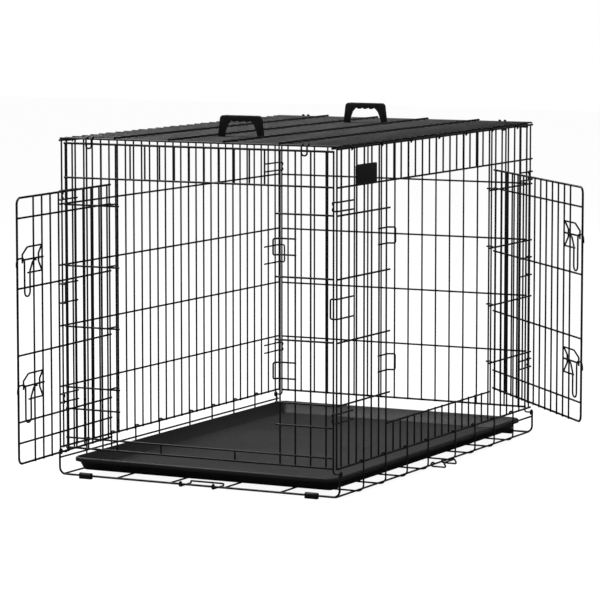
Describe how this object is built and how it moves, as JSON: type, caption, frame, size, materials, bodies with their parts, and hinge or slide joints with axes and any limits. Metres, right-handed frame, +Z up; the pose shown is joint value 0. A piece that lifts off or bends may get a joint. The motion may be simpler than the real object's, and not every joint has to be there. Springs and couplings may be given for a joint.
{
  "type": "dog_crate",
  "caption": "Folding black wire dog crate with a front door and a side door, slide bolt latches, a slide-out tray, corner hooks and carry handles.",
  "frame": {"origin": "centre of the footprint on the floor", "axes": "+Z up; the front end with its door faces -Y; the side with the second door faces +X"},
  "size_m": [1.1306, 1.5195, 0.8288],
  "materials": {
    "wire": "black powder or e-coat, satin",
    "plastic": "moulded black, satin",
    "tray": "black ABS sheet, fine grain"
  },
  "bodies": {
    "cage": {"base_grid": "wire", "front_feet": "plastic", "rear_feet": "plastic", "left_panel": "wire", "right_panel": "wire", "top_panel": "wire", "side_keepers": "wire", "left_snap_hooks": "wire", "right_snap_hooks": "wire", "left_guard_loops": "wire", "right_guard_loops": "wire", "front_top_hooks": "wire", "rear_top_hooks": "wire", "name_plate": "plastic"},
    "front_end": {"front_panel": "wire", "front_keepers": "wire"},
    "back_end": {"back_panel": "wire"},
    "front_gate": {"front_door": "wire", "front_upper_bracket": "wire", "front_lower_bracket": "wire"},
    "side_gate": {"side_door": "wire", "side_upper_bracket": "wire", "side_lower_bracket": "wire"},
    "front_bolt_high": {"front_upper_bolt": "wire"},
    "front_bolt_low": {"front_lower_bolt": "wire"},
    "side_bolt_high": {"side_upper_bolt": "wire"},
    "side_bolt_low": {"side_lower_bolt": "wire"},
    "pan": {"tray": "tray"},
    "carry_front": {"front_handle": "plastic"},
    "carry_rear": {"rear_handle": "plastic"},
    "pan_latch_front": {"front_pan_stop": "wire"},
    "pan_latch_side": {"side_pan_stop": "wire"}
  },
  "joints": [
    {"name": "front_panel_fold", "type": "hinge", "parent": "cage", "child": "front_end", "pos_m": [0, -0.533, 0.058], "axis": [1, 0, 0], "range_deg": [-25, 0]},
    {"name": "back_panel_fold", "type": "hinge", "parent": "cage", "child": "back_end", "pos_m": [0, 0.533, 0.058], "axis": [-1, 0, 0], "range_deg": [-88, 0]},
    {"name": "front_door_swing", "type": "hinge", "parent": "front_end", "child": "front_gate", "pos_m": [-0.209, -0.533, 0.39], "axis": [0, 0, -1], "range_deg": [-87, 63]},
    {"name": "side_door_swing", "type": "hinge", "parent": "cage", "child": "side_gate", "pos_m": [0.35, 0.285, 0.41], "axis": [0, 0, 1], "range_deg": [-43.5, 106.5]},
    {"name": "front_bolt_high_slide", "type": "slide", "parent": "front_gate", "child": "front_bolt_high", "axis": [0.0523, -0.9986, 0], "range_m": [-0.03, 0]},
    {"name": "front_bolt_low_slide", "type": "slide", "parent": "front_gate", "child": "front_bolt_low", "axis": [0.0523, -0.9986, 0], "range_m": [-0.03, 0]},
    {"name": "side_bolt_high_slide", "type": "slide", "parent": "side_gate", "child": "side_bolt_high", "axis": [0.6884, -0.7254, 0], "range_m": [-0.03, 0]},
    {"name": "side_bolt_low_slide", "type": "slide", "parent": "side_gate", "child": "side_bolt_low", "axis": [0.6884, -0.7254, 0], "range_m": [-0.03, 0]},
    {"name": "tray_slide", "type": "slide", "parent": "cage", "child": "pan", "axis": [0, -1, 0], "range_m": [0, 0.9]},
    {"name": "front_handle_fold", "type": "hinge", "parent": "cage", "child": "carry_front", "pos_m": [0, -0.323, 0.77885], "axis": [1, 0, 0], "range_deg": [-75, 75]},
    {"name": "rear_handle_fold", "type": "hinge", "parent": "cage", "child": "carry_rear", "pos_m": [0, 0.323, 0.77885], "axis": [1, 0, 0], "range_deg": [-75, 75]},
    {"name": "front_pan_stop_turn", "type": "hinge", "parent": "cage", "child": "pan_latch_front", "pos_m": [0, -0.53785, 0.0073], "axis": [1, 0, 0], "range_deg": [0, 4]},
    {"name": "side_pan_stop_turn", "type": "hinge", "parent": "cage", "child": "pan_latch_side", "pos_m": [0.35, 0, 0.0073], "axis": [0, -1, 0], "range_deg": [0, 92]}
  ]
}
